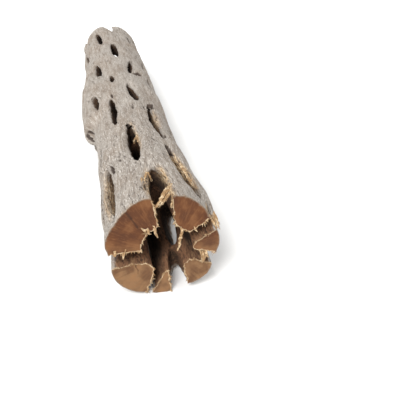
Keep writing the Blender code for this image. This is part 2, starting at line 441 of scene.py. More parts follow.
def spots(places, turn, along, fade, unit=1.0):
    """How much of the strongest of these places is at each point, in this unit."""
    most = np.zeros(len(turn))
    for middle_turn, place, half_turn, half_length, strength in places:
        off = wrapped(turn - math.radians(middle_turn)) / math.radians(half_turn)
        far = np.hypot(off, (along - place * MM) / (half_length * MM))
        most = np.maximum(most, strength * unit * (1 - part_way(far, *fade)))
    return most


def grown(turn, along, depth, gap):
    """Where points of the straight net lie in the real stem, in the solid's own frame."""
    dip = DIP_DEPTH * np.exp(-((np.maximum(gap, 0) / DIP_REACH) ** 2))
    dip = dip + spots(HOLLOWED_PLACES, turn, along, HOLLOW_FADE, MM)
    dip = dip * part_way(depth, 0.6, 1.0)
    reach = HOLLOW_RADIUS + (outer_radius(turn, along) - HOLLOW_RADIUS) * depth - dip
    pith_x, pith_z = along_table(PITH, along)
    bend_x, bend_z = along_table(BEND, along)
    return np.stack((
        reach * np.sin(turn) + (pith_x * (1 - depth) + bend_x) * MM + STEM_X,
        along + solid_low.y,
        reach * np.cos(turn) + (pith_z * (1 - depth) + bend_z) * MM + STEM_Z,
    ), axis=1)


stem = grown(turn, along, depth, lip_gap)
net.vertices.foreach_set("co", stem.ravel())
net.update()
print(f"the net reaches {stem[:, 0].min() / MM:.1f} to {stem[:, 0].max() / MM:.1f} mm across")

# %% [markdown]
# ## Store what the relief and the colours need
#
# A named attribute is a value that the mesh carries at every point. Geometry Nodes can move points by it,
# and a material can colour by it. The most useful one is the grain: the place that each bit of wood had
# on the straight tube. A noise that is stretched along the tube in those coordinates turns into fibres
# that bend with the stem and part round its windows.

# %% Torn places and cracks
# Middle turn (degrees) and place along (mm), half spreads of both, and strength. They fade in the same way.
SPOT_FADE = (0.5, 1.15)
TORN_PLACES = (
    (13, 10, 13, 19, 1.0),
    (-13, 14, 9, 14, 0.8),
    (38, 24, 17, 22, 1.0),
    (60, 2, 9, 7, 1.0),
    (-66, 22, 12, 18, 0.6),
    (36, 80, 6, 14, 0.6),
    (-9, 48, 7, 12, 0.9),
    (-8, 62, 6, 6, 0.4),
)
# Places on the walls that are painted dark as shade, given in the same way.
PAINTED_SHADE_PLACES = (
    (32, 39, 5, 5, 1.0),
    (25, 70, 2.5, 9, 0.9),
    (28.5, 60, 3, 6, 0.8),
    (-58, 24, 3, 12, 0.6),
)
# Turn (degrees) and place along (mm) of the middle, length, width and depth (mm), and lean (degrees).
SEEN_CRACKS = (
    (-47, 33, 9.0, 1.3, 1.8, -4),
    (26, 87, 7.0, 1.6, 1.6, 10),
    (21, 137, 8.5, 6.5, 2.4, 12),
    (-93, 96, 6.5, 1.4, 1.6, 6),
    (-85, 95, 6.0, 1.1, 1.3, -4),
    (-40, 4, 9.0, 0.6, 0.5, -3),
    (-13.5, 9, 6.0, 0.9, 1.0, 4),
    (31, 40.5, 7.0, 2.4, 2.4, -4),
    (-13.5, 62.5, 8.0, 1.8, 2.5, 0),
    (29, 58, 9.0, 2.8, 2.0, -5),
    (24.5, 67, 17.0, 1.8, 2.2, -5),
    (-27, 104, 5.0, 1.0, 1.0, 0),
)
# The rest are drawn from these ranges of length, width, depth and lean.
MORE_CRACKS = 60
CRACK_SIZES = ((3.0, 11.0), (0.35, 0.8), (0.3, 0.9), (-6, 2))
CRACK_SEED = 5
# The walls of a crack end this many half widths from its middle.
CRACK_WALL = 1.4


def all_cracks():
    draw = random.Random(CRACK_SEED)
    more = []
    for _ in range(MORE_CRACKS):
        place = (draw.uniform(-180, 180), draw.uniform(0, LENGTH / MM))
        more.append(place + tuple(draw.uniform(*sizes) for sizes in CRACK_SIZES))
    return SEEN_CRACKS + tuple(more)


def crack_depth(turn, along):
    """How deep a crack cuts at each point, in metres."""
    deepest = np.zeros(len(turn))
    for middle_turn, place, length, width, cut, lean in all_cracks():
        share = (along - place * MM) / (length * MM / 2)
        off = wrapped(turn - math.radians(middle_turn) - math.radians(lean) * share / 2) * OUTER_RADIUS
        half = width * MM / 2 * np.sqrt(np.maximum(1 - share * share, 0))
        here = np.clip(CRACK_WALL - np.abs(off) / np.maximum(half, MM / 1000), 0, 1)
        deepest = np.maximum(deepest, cut * MM * here)
    return deepest


def store(mesh, name, values):
    kind = "FLOAT" if values.ndim == 1 else "FLOAT_VECTOR"
    attribute = mesh.attributes.new(name, kind, "POINT")
    attribute.data.foreach_set("value" if values.ndim == 1 else "vector", values.astype(np.float32).ravel())


LIP_REACH = 0.9 * MM
SAW_REACH = 1.3 * MM
to_cut = np.minimum(np.abs(along), np.abs(along - LENGTH))
store(net, "grain", np.stack((radius * np.sin(fibre_turn), along, radius * np.cos(fibre_turn)), axis=1))
store(net, "sideways", np.stack((np.cos(turn), 0 * turn, -np.sin(turn)), axis=1) * lip_side[:, None])
store(net, "depth", depth)
store(net, "lip", np.exp(-np.maximum(lip_gap, 0) / LIP_REACH))
store(net, "torn", spots(TORN_PLACES, turn, along, SPOT_FADE))
# Where the walls get painted shade.
store(net, "painted_shade", spots(PAINTED_SHADE_PLACES, turn, along, SPOT_FADE))
store(net, "crack", crack_depth(turn, along) * part_way(depth, 0.7, 0.95))
store(net, "saw", np.exp(-to_cut / SAW_REACH))
print("the net carries", ", ".join(a.name for a in net.attributes if not a.name.startswith(".")))

# %% [markdown]
# ## A small helper for node trees
#
# Geometry trees and material trees are wired in the same way, so one helper serves both. It adds a node,
# sets its options, and fills each input with a number or with another node's output.

# %% Wire nodes
class Web:
    """A node tree, with short ways to add nodes that are wired as they are made."""

    def __init__(self, tree):
        self.tree = tree

    def add(self, kind, fill=None, **options):
        """A new node. An input is named by its number or by its name, of which one at a time is in use."""
        node = self.tree.nodes.new(kind)
        for option, value in options.items():
            setattr(node, option, value)
        for name, value in (fill or {}).items():
            in_use = [s for s in node.inputs if s.enabled and s.name == name]
            socket = node.inputs[name] if isinstance(name, int) else in_use[0]
            if isinstance(value, bpy.types.NodeSocket):
                self.tree.links.new(value, socket)
            else:
                socket.default_value = value
        return node

    def out(self, node, name):
        return next(s for s in node.outputs if s.enabled and s.name == name)

    def math(self, operation, a, b=0.0, c=0.0):
        return self.add("ShaderNodeMath", {0: a, 1: b, 2: c}, operation=operation).outputs[0]

    def vector(self, operation, a, b=(0, 0, 0)):
        return self.add("ShaderNodeVectorMath", {0: a, 1: b}, operation=operation).outputs["Vector"]

    def times(self, *factors):
        """The product of two or more numbers."""
        product, *others = factors
        for factor in others:
            product = self.math("MULTIPLY", product, factor)
        return product

    def scaled(self, vector, factor):
        node = self.add("ShaderNodeVectorMath", {0: vector, "Scale": factor}, operation="SCALE")
        return node.outputs["Vector"]

    def joined(self, x, y, z):
        return self.add("ShaderNodeCombineXYZ", {"X": x, "Y": y, "Z": z}).outputs[0]

    def shape(self, kind, fill=None, **options):
        """The first output of a new geometry node of this kind."""
        return self.add("GeometryNode" + kind, fill, **options).outputs[0]

    def place(self):
        return self.shape("InputPosition")

    def rise(self, value, start, end, low=0.0, high=1.0):
        """An eased rise from low to high as value goes from start to end."""
        fill = {"Value": value, "From Min": start, "From Max": end, "To Min": low, "To Max": high}
        return self.add("ShaderNodeMapRange", fill, interpolation_type="SMOOTHSTEP").outputs["Result"]

    def noise(self, vector, detail=2.0, roughness=0.5, distortion=0.0, seed=0.0):
        fill = {"Vector": vector, "W": seed, "Scale": 1.0, "Detail": detail,
                "Roughness": roughness, "Distortion": distortion}
        return self.add("ShaderNodeTexNoise", fill, noise_dimensions="4D").outputs[0]

    def swing(self, vector, **how):
        """A noise that swings between about -1 and 1."""
        return self.math("MULTIPLY_ADD", self.noise(vector, **how), 2.0, -1.0)

    def blobs(self, place, size, **how):
        """A noise whose blobs are this big in all directions, in metres."""
        return self.noise(self.scaled(place, 1 / size), **how)


# %% [markdown]
# ## Relief: fibres, ridges, ragged lips and teeth
#
# Sculpting a quarter of a metre of wood by hand isn't sensible, and bump alone would leave a smooth
# outline. So a Geometry Nodes tree moves the points: fibres and broader ridges along the normal, and lips
# of windows sideways, so that none stays a neat lens. Torn wood is rougher. Close to a saw cut the inner
# wood gets deep teeth, because a saw tears thin fibres where nothing backs them.

# %% Build the relief tree
RELIEF_SIZES = {
    "Fibre Depth": 0.12 * MM,
    "Fibre Width": 0.75 * MM,
    "Fibre Length": 5.0 * MM,
    "Ridge Depth": 0.26 * MM,
    "Ridge Width": 3.0 * MM,
    "Ridge Length": 15.0 * MM,
    "Ragged": 1.3 * MM,
    "Ragged Size": 2.2 * MM,
    "Torn Depth": 0.75 * MM,
    "Tooth Depth": 1.1 * MM,
    "Tooth Width": 1.1 * MM,
}
RELIEF_SEED = 3.0
TOOTH_LENGTH = 40 * MM


def tree_with_inputs(name, sizes):
    """A geometry tree with a geometry input, one for each size, a seed and a material, and its inputs."""
    tree = bpy.data.node_groups.new(name, "GeometryNodeTree")
    numbers = [(number, "INPUT", "Float") for number in (*sizes, "Seed")]
    shape_in, material_in = ("Geometry", "INPUT", "Geometry"), ("Material", "INPUT", "Material")
    for label, way, kind in (shape_in, *numbers, material_in, ("Geometry", "OUTPUT", "Geometry")):
        tree.interface.new_socket(label, in_out=way, socket_type="NodeSocket" + kind)
    web = Web(tree)
    return web, web.add("NodeGroupInput").outputs


def ended(web, given, geometry):
    """The tree with its last two nodes: this geometry gets the given material and goes out."""
    finished = web.shape("SetMaterial", {"Geometry": geometry, "Material": given["Material"]})
    web.add("NodeGroupOutput", {0: finished})
    return web.tree


def attribute(web, name, kind="FLOAT"):
    return web.out(web.add("GeometryNodeInputNamedAttribute", {"Name": name}, data_type=kind), "Attribute")


def relief_tree():
    web, given = tree_with_inputs("Relief", RELIEF_SIZES)
    grain = attribute(web, "grain", "FLOAT_VECTOR")
    seed = given["Seed"]

    def waves(width, length, height, **how):
        """A noise that is stretched along the grain, this high."""
        strip = web.vector("DIVIDE", grain, web.joined(given[width], length, given[width]))
        return web.times(web.swing(strip, **how), given[height])

    fibre = waves("Fibre Width", given["Fibre Length"], "Fibre Depth", detail=3.0, seed=seed)
    ridge = waves("Ridge Width", given["Ridge Length"], "Ridge Depth", distortion=0.4, seed=seed)
    torn = waves("Fibre Width", given["Fibre Length"], "Torn Depth", detail=4.0, roughness=0.65,
                 distortion=0.6, seed=web.math("ADD", seed, 7.0))
    torn = web.times(torn, attribute(web, "torn"))
    tooth = waves("Tooth Width", TOOTH_LENGTH, "Tooth Depth", seed=web.math("ADD", seed, 3.0))
    tooth = web.times(tooth, attribute(web, "saw"), web.rise(attribute(web, "depth"), 0.98, 0.8))
    push = web.math("ADD", web.math("ADD", fibre, ridge), web.math("ADD", torn, tooth))
    push = web.math("SUBTRACT", push, attribute(web, "crack"))
    along_normal = web.scaled(web.shape("InputNormal"), push)

    chips = web.vector("DIVIDE", web.place(), web.joined(*[given["Ragged Size"]] * 3))
    ragged = web.times(web.swing(chips, detail=4.0, roughness=0.6, seed=seed),
                       web.times(given["Ragged"], attribute(web, "lip")))
    sideways = web.scaled(attribute(web, "sideways", "FLOAT_VECTOR"), ragged)
    shift = web.vector("ADD", along_normal, sideways)
    return ended(web, given, web.shape("SetPosition", {"Geometry": given["Geometry"], "Offset": shift}))


def run_tree(piece, tree, sizes, seed, material):
    """Runs a geometry tree on the piece and gives the plain mesh that comes out."""
    modifier = piece.modifiers.new(tree.name, "NODES")
    modifier.node_group = tree
    sockets = {item.name: item.identifier for item in tree.interface.items_tree if item.in_out == "INPUT"}
    for name, value in sizes.items():
        modifier[sockets[name]] = value
    modifier[sockets["Seed"]] = seed
    modifier[sockets["Material"]] = material
    return as_plain_mesh(piece)


weathered = bpy.data.materials.new("weathered_wood")
sawn = bpy.data.materials.new("sawn_wood")
torn_wood = bpy.data.materials.new("torn_wood")
relief = run_tree(in_scene("smooth_net", net), relief_tree(), RELIEF_SIZES, RELIEF_SEED, weathered)
print(f"relief moved the points by up to {np.abs(positions(relief) - stem).max() / MM:.1f} mm")

# %% [markdown]
# ## Saw it square
#
# The net was grown too long on purpose. Two planes saw it to length, and a third takes a sliver off the
# underside, where it rests. A sawn strand has shallow saw marks, which one flat polygon would not show. So
# each is closed with a fine sheet of triangles: Blender's own Delaunay routine fills its outline round a
# loose grid of extra points.

# %% Saw and close
CUT_GRID = 0.55 * MM
CUT_STRAY = 0.25
CUT_EDGE_GAP = 0.3 * MM
SAW_MARK_DEPTH = 0.09 * MM
SAW_MARK_WIDTH = 0.7 * MM
TINY = 1e-6


def saw(body, point, outward):
    """Saws away what lies outward of the plane, and gives the edges of the cut."""
    everything = body.verts[:] + body.edges[:] + body.faces[:]
    cut = bmesh.ops.bisect_plane(body, geom=everything, plane_co=point, plane_no=outward, clear_outer=True)
    return [e for e in cut["geom_cut"] if isinstance(e, bmesh.types.BMEdge)]


def grid_inside(outline, edges):
    """Points of a loose grid that lie inside the outline, clear of its edges. Both are arrays in 2D."""
    low = outline.min(axis=0)
    high = outline.max(axis=0)
    xs, ys = np.meshgrid(np.arange(low[0], high[0], CUT_GRID), np.arange(low[1], high[1], CUT_GRID))
    draw = np.random.default_rng(SEED)
    dots = np.stack((xs.ravel(), ys.ravel()), axis=1)
    dots += draw.uniform(-CUT_STRAY, CUT_STRAY, dots.shape) * CUT_GRID
    crossings = np.zeros(len(dots), int)
    nearest = np.full(len(dots), 1.0)
    for start, end in outline[edges]:
        run = end - start
        if run[1]:
            spans = (start[1] > dots[:, 1]) != (end[1] > dots[:, 1])
            at = start[0] + (dots[:, 1] - start[1]) * run[0] / run[1]
            crossings += spans & (dots[:, 0] < at)
        share = np.clip(((dots - start) @ run) / max(run @ run, TINY ** 2), 0, 1)
        nearest = np.minimum(nearest, np.hypot(*(dots - start - share[:, None] * run).T))
    return dots[(crossings % 2 == 1) & (nearest > CUT_EDGE_GAP)]


def saw_mark(x, z):
    """How far a point of the cut lies behind the plane of the saw."""
    coarse = noise.noise(Vector((x, z * 0.25, 0)) / SAW_MARK_WIDTH)
    fine = noise.noise(Vector((x, z, 9 * MM)) / (SAW_MARK_WIDTH / 2))
    return SAW_MARK_DEPTH * (1 + 0.7 * coarse + 0.5 * fine)


def on_cut(edge, at):
    return all(abs(v.co.y - at) < TINY for v in edge.verts)


def close_cut(body, at, outward):
    """Fills the strands that were sawn at this place along the stem."""
    rim = [e for e in body.edges if e.is_boundary and on_cut(e, at)]
    corners = list({v: None for e in rim for v in e.verts})
    number = {v: k for k, v in enumerate(corners)}
    outline = np.array([(v.co.x, v.co.z) for v in corners])
    edges = np.array([[number[v] for v in e.verts] for e in rim])
    dots = grid_inside(outline, edges)
    flat = [Vector(p) for p in np.concatenate((outline, dots))]
    with_holes = 2
    places, _, faces, origins, _, _ = delaunay_2d_cdt(flat, edges.tolist(), [], with_holes, TINY / 100)
    made = []
    for place, origin in zip(places, origins):
        if origin and origin[0] < len(corners):
            made.append(corners[origin[0]])
        else:
            made.append(body.verts.new((place.x, at - outward * saw_mark(place.x, place.y), place.y)))
    for face in faces:
        points = [made[k] for k in face]
        if len(set(points)) == 3:
            new = body.faces.new(points)
            new.normal_update()
            if new.normal.y * outward < 0:
                new.normal_flip()
            new.material_index = 1
            new.smooth = True
    for edge in rim:
        edge.smooth = False


def rim_edges(body, at):
    """The edges between a sawn face and the wood behind it, apart from those on the floor."""
    raised = [e for e in body.edges if on_cut(e, at) and any(v.co.z > TINY for v in e.verts)]
    return [e for e in raised if {face.material_index for face in e.link_faces} == {0, 1}]


body = bmesh.new()
body.from_mesh(relief)
for face in body.faces:
    face.smooth = True
ENDS = ((solid_low.y, -1), (solid_high.y, 1))
for at, outward in ENDS:
    saw(body, (0, at, 0), (0, outward, 0))
    close_cut(body, at, outward)
bmesh.ops.holes_fill(body, edges=saw(body, (0, 0, 0), (0, 0, -1)), sides=0)
rims = {at: rim_edges(body, at) for at, _ in ENDS}
print(f"sawn: {len(body.faces)} faces, {sum(not e.is_manifold for e in body.edges)} loose edges")

# %% [markdown]
# ## Splinters along the sawn rims
#
# A saw leaves thin wood in tatters wherever nothing supports it from behind: along the hollow and the
# windows, not on the round outside. So the rim's own edges guide them. A geometry tree turns the edges
# into curves, puts a point every third of a millimetre, and stands a tapered splinter on each, leaning out
# over the gap and down.

# %% Grow the fringe
SPLINTER_SIZES = {
    "Spacing": 0.3 * MM,
    "Length": 1.35 * MM,
    "Thickness": 0.23 * MM,
    "Clump Size": 1.5 * MM,
    "Droop": 0.6,
}
SPLINTER_SEED = 4.0
OUTER_DEPTH = 0.9
OUT_OF_CUT = 0.35
LENGTH_SCATTER = (0.3, 1.1)
THICKNESS_SCATTER = (0.4, 1.2)
LEAN_SCATTER = 0.7
SPLINTER_CURL = 0.7 * MM
SPLINTER_CURL_SIZE = 1.4 * MM


def rim_guide(body, rims, layer):
    """The rim edges away from the round outside, as a mesh that knows which way is out over the gap."""
    guide = bmesh.new()
    out = guide.verts.layers.float_vector.new("out")
    for at, rim in rims.items():
        away = OUT_OF_CUT if at > 0 else -OUT_OF_CUT
        copies = {}
        for edge in rim:
            if all(v[layer] > OUTER_DEPTH for v in edge.verts):
                continue
            side = next(f for f in edge.link_faces if f.material_index == 0)
            for v in edge.verts:
                if v not in copies:
                    copies[v] = guide.verts.new(v.co)
                copies[v][out] += Vector((side.normal.x, away, side.normal.z)) * edge.calc_length()
            guide.edges.new([copies[v] for v in edge.verts])
    return as_mesh("rim_guide", guide)


def splinter(web, roots, direction, length, thickness):
    """Flat tapered splinters that stand on these points along this direction, thin along the stem."""
    sizes = {"Vertices": 5, "Side Segments": 4, "Radius Top": 0.15, "Radius Bottom": 1.0, "Depth": 1.0}
    cone = web.shape("MeshCone", sizes, fill_type="TRIANGLE_FAN")
    turned = web.add("FunctionNodeAlignRotationToVector", {"Vector": direction}, axis="Z").outputs[0]
    turned = web.add("FunctionNodeAlignRotationToVector", {
        "Rotation": turned, "Vector": (0, 1, 0)}, axis="Y", pivot_axis="Z").outputs[0]
    size = web.joined(thickness, web.times(thickness, 0.5), length)
    placed = {"Points": roots, "Instance": cone, "Rotation": turned, "Scale": size}
    return web.shape("RealizeInstances", {"Geometry": web.shape("InstanceOnPoints", placed)})


def scatter(web, low, high, seed, kind="FLOAT"):
    fill = {"Min": low, "Max": high, "Seed": seed}
    return web.out(web.add("FunctionNodeRandomValue", fill, data_type=kind), "Value")


def curl(web, geometry, amount, size, seed):
    """Bends thin pieces a little, each by the noise of its own place."""
    fill = {"Vector": web.place(), "W": seed, "Scale": 1 / size, "Detail": 1.0}
    drift = web.add("ShaderNodeTexNoise", fill, noise_dimensions="4D").outputs["Color"]
    swing = web.vector("SUBTRACT", drift, (0.5, 0.5, 0.5))
    return web.shape("SetPosition", {"Geometry": geometry, "Offset": web.scaled(swing, amount)})


def fringe_tree():
    web, given = tree_with_inputs("Fringe", SPLINTER_SIZES)
    curves = web.shape("MeshToCurve", {"Mesh": given["Geometry"]})
    roots = web.shape("CurveToPoints", {"Curve": curves, "Length": given["Spacing"]}, mode="LENGTH")
    place = web.place()
    clump_size = web.math("DIVIDE", 1.0, given["Clump Size"])
    clump = web.noise(web.scaled(place, clump_size), detail=1.0, seed=given["Seed"])
    clump = web.rise(clump, 0.40, 0.60, 0.10, 1.0)
    length = web.times(clump, given["Length"], scatter(web, *LENGTH_SCATTER, 1))
    thickness = web.times(given["Thickness"], scatter(web, *THICKNESS_SCATTER, 2))
    out = web.vector("NORMALIZE", attribute(web, "out", "FLOAT_VECTOR"))
    down = web.joined(0, 0, web.times(given["Droop"], -1.0))
    stray = scatter(web, (-LEAN_SCATTER,) * 3, (LEAN_SCATTER,) * 3, 3, "FLOAT_VECTOR")
    lean = web.vector("ADD", web.vector("ADD", out, down), stray)
    made = splinter(web, roots, lean, length, thickness)
    made = curl(web, made, SPLINTER_CURL, SPLINTER_CURL_SIZE, 5.0)
    floor_up = web.vector("MAXIMUM", place, (-LENGTH, -LENGTH, 0))
    return ended(web, given, web.shape("SetPosition", {"Geometry": made, "Position": floor_up}))


depth_layer = body.verts.layers.float["depth"]
guide = rim_guide(body, rims, depth_layer)
fringe = run_tree(in_scene("rim_guide", guide), fringe_tree(), SPLINTER_SIZES, SPLINTER_SEED, torn_wood)
print(f"the fringe has {len(fringe.polygons)} faces")

# %% [markdown]
# ## Torn straps and hanging fibres
#
# Where a strand broke, whole ribbons of fibre stay behind and curl. There are only a few, each with its
# own shape, so their middle lines are given point by point. A tree then gives each line a flat, tapered,
# slightly wrinkled body.

# %% Draw the straps
# Fibres in each strap, their spread at its start and at its end, and their width (mm), then the points of its
# middle line: across, along from the near cut, and up.
STRAPS = (
    (7, 0.9, 0.35, 0.6,
     (5.4, 9.0, 34.4), (4.2, 6.4, 34.6), (2.4, 4.2, 34.3), (0.8, 1.8, 33.2), (-1.0, 0.2, 31.5)),
    (4, 0.6, 0.4, 0.5,
     (5.4, 7.0, 34.1), (4.6, 4.6, 34.1), (3.2, 2.8, 33.5), (1.6, 1.2, 32.6), (0.2, 0.2, 31.9)),
    (3, 0.6, 0.3, 0.5,
     (5.8, 4.6, 33.9), (5.2, 2.6, 33.2), (4.4, 1.0, 32.4), (3.6, 0.0, 31.6)),
    (3, 0.15, 0.2, 0.4,
     (-2.4, 13.0, 33.9), (-2.0, 15.5, 34.5), (-0.9, 18.2, 35.0), (-0.3, 16.5, 34.4), (0.0, 14.0, 33.8)),
    (3, 0.3, 0.3, 0.45,
     (-3.0, 15.0, 34.8), (-3.4, 12.0, 34.8), (-3.3, 8.0, 34.3), (-2.9, 3.5, 33.8), (-2.4, 0.6, 33.2)),
    (4, 0.35, 0.25, 0.7,
     (6.9, 1.4, 24.0), (7.1, 0.1, 22.4), (6.5, -0.2, 20.2), (6.3, -0.2, 17.6), (5.6, -0.1, 15.7)),
    (4, 0.3, 0.25, 0.4,
     (-5.3, 1.0, 25.4), (-4.9, -0.2, 24.6), (-4.1, -0.4, 24.2), (-4.3, -0.4, 23.3), (-5.2, -0.3, 23.0)),
    (4, 0.4, 0.2, 0.4,
     (-3.9, 1.0, 25.4), (-3.3, -0.2, 24.2), (-3.4, -0.4, 23.3), (-2.5, -0.3, 22.9)),
    (4, 0.35, 0.15, 0.45,
     (-2.0, 1.0, 25.6), (-1.2, -0.2, 24.3), (-1.0, -0.4, 23.0), (-0.3, -0.4, 21.3)),
    (4, 0.5, 0.2, 0.5,
     (11.3, 1.2, 23.6), (11.6, -0.1, 22.7), (12.0, -0.2, 21.9)),
    (9, 1.3, 0.35, 0.55,
     (13.8, 1.5, 15.6), (13.9, 0.2, 14.0), (14.0, -0.2, 12.2), (13.7, -0.2, 10.4)),
    (4, 0.5, 0.3, 0.5,
     (15.4, 1.5, 15.4), (15.2, -0.1, 14.0), (15.4, -0.3, 12.8), (15.9, -0.2, 12.0)),
    (7, 0.9, 0.25, 0.55,
     (-11.2, 1.2, 17.2), (-11.4, 0.0, 16.2), (-11.5, -0.2, 14.8)),
    (5, 0.8, 0.3, 0.5,
     (-14.2, 1.2, 17.8), (-14.0, 0.0, 16.8), (-14.1, -0.2, 15.8)),
    (9, 0.9, 0.7, 0.55,
     (17.2, 2.6, 26.0), (17.8, 1.2, 25.0), (18.3, 0.3, 23.9), (18.9, -0.2, 22.6)),
    (3, 0.3, 0.5, 0.45,
     (11.6, 26.0, 32.4), (12.6, 21.0, 31.4), (13.3, 16.5, 30.6), (14.6, 12.0, 30.3)),
    (3, 0.3, 0.3, 0.35,
     (-1.2, 46.0, 34.6), (-1.0, 48.0, 34.9), (-1.2, 50.0, 34.7), (-1.6, 51.5, 34.2)),
    (3, 0.3, 0.3, 0.35,
     (-0.6, 52.0, 34.6), (-1.0, 50.5, 34.5), (-1.9, 49.0, 34.0), (-2.3, 47.5, 33.2)),
)
STRAP_SIZES = {"Step": 0.3 * MM, "Thickness": 0.4, "Wrinkle": 0.9 * MM, "Wrinkle Size": 1.1 * MM}
STRAP_CURL_SIZE = 0.8 * MM
STRAP_SEED = 9.0


def strap_guide():
    draw = random.Random(STRAP_SEED)
    guide = bmesh.new()
    width_layer = guide.verts.layers.float.new("width")
    share_layer = guide.verts.layers.float.new("share")
    for fibres, start_spread, end_spread, width, *points in STRAPS:
        for _ in range(fibres):
            stray = Vector([draw.uniform(-1, 1) for _ in range(3)])
            last = None
            for k, point in enumerate(points):
                share = k / (len(points) - 1)
                x, y, z = Vector(point) + stray * (start_spread + (end_spread - start_spread) * share)
                vertex = guide.verts.new((x * MM, solid_low.y + y * MM, z * MM))
                vertex[width_layer] = width * MM
                vertex[share_layer] = share
                if last:
                    guide.edges.new((last, vertex))
                last = vertex
    return as_mesh("strap_guide", guide)


def strap_tree():
    web, given = tree_with_inputs("Straps", STRAP_SIZES)
    curves = web.shape("MeshToCurve", {"Mesh": given["Geometry"]})
    curves = web.shape("CurveSplineType", {"Curve": curves}, spline_type="CATMULL_ROM")
    curves = web.shape("ResampleCurve", {"Curve": curves, "Length": given["Step"]}, mode="LENGTH")
    taper = web.rise(attribute(web, "share"), 1.02, 0.5, 0.25, 1.0)
    fine = web.math("DIVIDE", 1.0, given["Wrinkle Size"])
    wobble = web.noise(web.scaled(web.place(), fine), seed=given["Seed"])
    half = web.times(attribute(web, "width"), web.times(taper, 0.5), web.math("ADD", wobble, 0.5))
    circle = web.shape("CurvePrimitiveCircle", {"Resolution": 8, "Radius": 1.0}, mode="RADIUS")
    flat = web.shape("Transform", {"Geometry": circle, "Scale": web.joined(1.0, given["Thickness"], 1.0)})
    fill = {"Curve": curves, "Profile Curve": flat, "Scale": half, "Fill Caps": True}
    made = curl(web, web.shape("CurveToMesh", fill), given["Wrinkle"], STRAP_CURL_SIZE, 2.0)
    return ended(web, given, made)


straps = run_tree(in_scene("strap_guide", strap_guide()), strap_tree(), STRAP_SIZES, STRAP_SEED, torn_wood)
print(f"{len(STRAPS)} straps, {len(straps.polygons)} faces")

# %% [markdown]
# ## Weathered wood, torn wood and sawn wood
#
# Sun and rain bleach the outside to a warm grey, with darker and lighter fibres side by side. Deeper in
# the wood keeps its brown, and where it tore or was sawn it shows its real colour, from tan to a reddish
# brown. Every layer of the weathered wood reads the stored grain, so its streaks run with the fibres. The
# sawn ends have rays that spread from the pith.
# Some layers are painted light and shade: lighter walls near the saw cuts, darker deep walls, dark places on
# the walls and dark cracks.

# %% Make the materials
def colour(red, green, blue):
    """A colour given as it looks on a screen, 0 to 255, in the linear values that a shader takes."""
    shares = (channel / 255 for channel in (red, green, blue))
    return tuple(s / 12.92 if s < 0.04045 else ((s + 0.055) / 1.055) ** 2.4 for s in shares) + (1.0,)


ROUGHNESS = 0.92
SPECULAR = 0.25


class Finish(Web):
    """A material's tree, with layers of colour."""

    def __init__(self, material):
        material.use_nodes = True
        super().__init__(material.node_tree)
        self.shader = material.node_tree.nodes["Principled BSDF"]
        self.shader.inputs["Roughness"].default_value = ROUGHNESS
        self.shader.inputs["Specular IOR Level"].default_value = SPECULAR

    def place(self):
        return self.add("ShaderNodeTexCoord").outputs["Object"]

    def stored(self, name, kind="Fac"):
        return self.add("ShaderNodeAttribute", attribute_name=name).outputs[kind]

    def mix(self, share, under, over):
        fill = {"Factor": share, "A": under, "B": over}
        return self.out(self.add("ShaderNodeMix", fill, data_type="RGBA"), "Result")

    def layered(self, paint, *layers):
        """The paint with layers over it: what decides, where it starts and is full, strength and colour."""
        for what, start, end, strength, over in layers:
            paint = self.mix(self.times(self.rise(what, start, end), strength), paint, over)
        return paint

    def finish(self, paint, height, strength, distance):
        bump = self.add("ShaderNodeBump", {"Height": height, "Strength": strength, "Distance": distance})
        self.tree.links.new(paint, self.shader.inputs["Base Color"])
        self.tree.links.new(bump.outputs["Normal"], self.shader.inputs["Normal"])


GREY = colour(150, 142, 133)
PALE_GREY = colour(176, 168, 159)
WARM_GREY = colour(141, 129, 117)
DARK_FLECK = colour(78, 68, 60)
LIGHT_FLECK = colour(208, 202, 194)
INNER_BROWN = colour(88, 66, 50)
DEEP_BROWN = colour(52, 38, 30)
HOLLOW_BROWN = colour(126, 90, 66)
# Painted shade, for deep walls, dark places on the walls and nothing else.
SHADE_BROWN = colour(36, 27, 22)
TAN = colour(160, 128, 92)
LIGHT_TAN = colour(214, 191, 156)
SAWN_UPPER = colour(93, 57, 34)
SAWN_LOWER = colour(128, 97, 68)
SAWN_DARK = colour(74, 45, 31)
SAWN_LIGHT = colour(142, 99, 64)
LINE_BROWN = colour(50, 32, 24)
RIM_GREY = colour(124, 107, 90)


